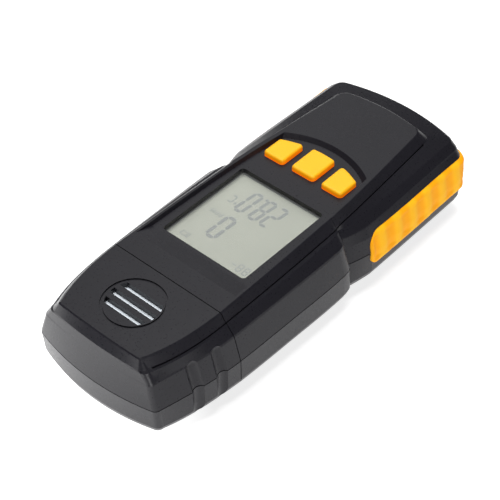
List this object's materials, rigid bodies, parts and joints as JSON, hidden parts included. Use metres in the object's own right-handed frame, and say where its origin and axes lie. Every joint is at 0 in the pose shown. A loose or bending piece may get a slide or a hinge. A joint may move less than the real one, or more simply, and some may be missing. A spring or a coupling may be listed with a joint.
{
  "type": "handheld gas meter",
  "caption": "Handheld gas meter with a slotted sensor head, a sunken display, press keys, side grips and a hinged battery door over its cells.",
  "frame": {"origin": "centre of the outline on the plane of the flat back", "axes": "+X user's right, +Y towards the sensor head, +Z out of the display"},
  "size_m": [0.0622, 0.15, 0.0315],
  "materials": {
    "shell_black": "fine textured satin",
    "grip_orange": "satin, soft touch",
    "key_orange": "satin silicone",
    "mat_grey": "matt silicone",
    "carbon_black": "matt",
    "window_clear": "polished",
    "gasket_foam": "matt foam",
    "display_glass": "reflective display",
    "light_guide": "milky",
    "frame_black": "satin",
    "board_green": "solder mask",
    "chip_black": "matt",
    "can_metal": "satin",
    "sleeve_blue": "shrunk sleeve",
    "connector_cream": "satin",
    "filter_white": "fine woven",
    "sensor_grey": "satin",
    "pin_brass": "plated",
    "cable_grey": "satin",
    "lead_red": "satin",
    "lead_black": "satin",
    "cell_wrap": "printed wrap",
    "contact_nickel": "nickel plated",
    "screw_steel": "black zinc"
  },
  "bodies": {
    "housing": {"front_case": "shell_black", "rear_case": "shell_black", "sensor_head_front": "shell_black", "sensor_head_rear": "shell_black", "grip_left": "grip_orange", "grip_right": "grip_orange", "keypad_mat": "mat_grey", "key_web_left": "mat_grey", "key_web_middle": "mat_grey", "key_web_right": "mat_grey", "window_gasket": "gasket_foam", "lcd_window": "window_clear", "lcd_glass": "display_glass", "lcd_backlight": "light_guide", "lcd_contact_strip_upper": "carbon_black", "lcd_contact_strip_lower": "carbon_black", "lcd_frame": "frame_black", "main_board": "board_green", "microcontroller": "chip_black", "crystal": "can_metal", "capacitor": "sleeve_blue", "buzzer": "chip_black", "board_connector": "connector_cream", "sensor_board": "board_green", "gas_sensor": "sensor_grey", "sensor_pins": "pin_brass", "sensor_gasket": "gasket_foam", "dust_filter": "filter_white", "sensor_connector": "connector_cream", "sensor_cable": "cable_grey", "battery_1": "cell_wrap", "battery_2": "cell_wrap", "battery_3": "cell_wrap", "battery_spring_1": "contact_nickel", "battery_spring_2": "contact_nickel", "battery_spring_3": "contact_nickel", "contact_plus": "contact_nickel", "contact_bridge_south": "contact_nickel", "contact_bridge_north": "contact_nickel", "contact_minus": "contact_nickel", "lead_red": "lead_red", "lead_black": "lead_black", "case_screws": "screw_steel", "head_screws": "screw_steel", "board_screws": "screw_steel", "sensor_board_screws": "screw_steel"},
    "left_key": {"key_left": "key_orange", "key_pill_left": "carbon_black"},
    "middle_key": {"key_middle": "key_orange", "key_pill_middle": "carbon_black"},
    "right_key": {"key_right": "key_orange", "key_pill_right": "carbon_black"},
    "door": {"battery_door": "shell_black"}
  },
  "joints": [
    {"name": "key_left_press", "type": "slide", "parent": "housing", "child": "left_key", "axis": [0, 0, -1], "range_m": [0, 0.001], "stiffness_N_per_m": 300, "deforming": ["key_web_left"]},
    {"name": "key_middle_press", "type": "slide", "parent": "housing", "child": "middle_key", "axis": [0, 0, -1], "range_m": [0, 0.001], "stiffness_N_per_m": 300, "deforming": ["key_web_middle"]},
    {"name": "key_right_press", "type": "slide", "parent": "housing", "child": "right_key", "axis": [0, 0, -1], "range_m": [0, 0.001], "stiffness_N_per_m": 300, "deforming": ["key_web_right"]},
    {"name": "battery_door_hinge", "type": "hinge", "parent": "housing", "child": "door", "pos_m": [0, -0.01325, 0.00105], "axis": [1, 0, 0], "range_deg": [0, 55]}
  ]
}
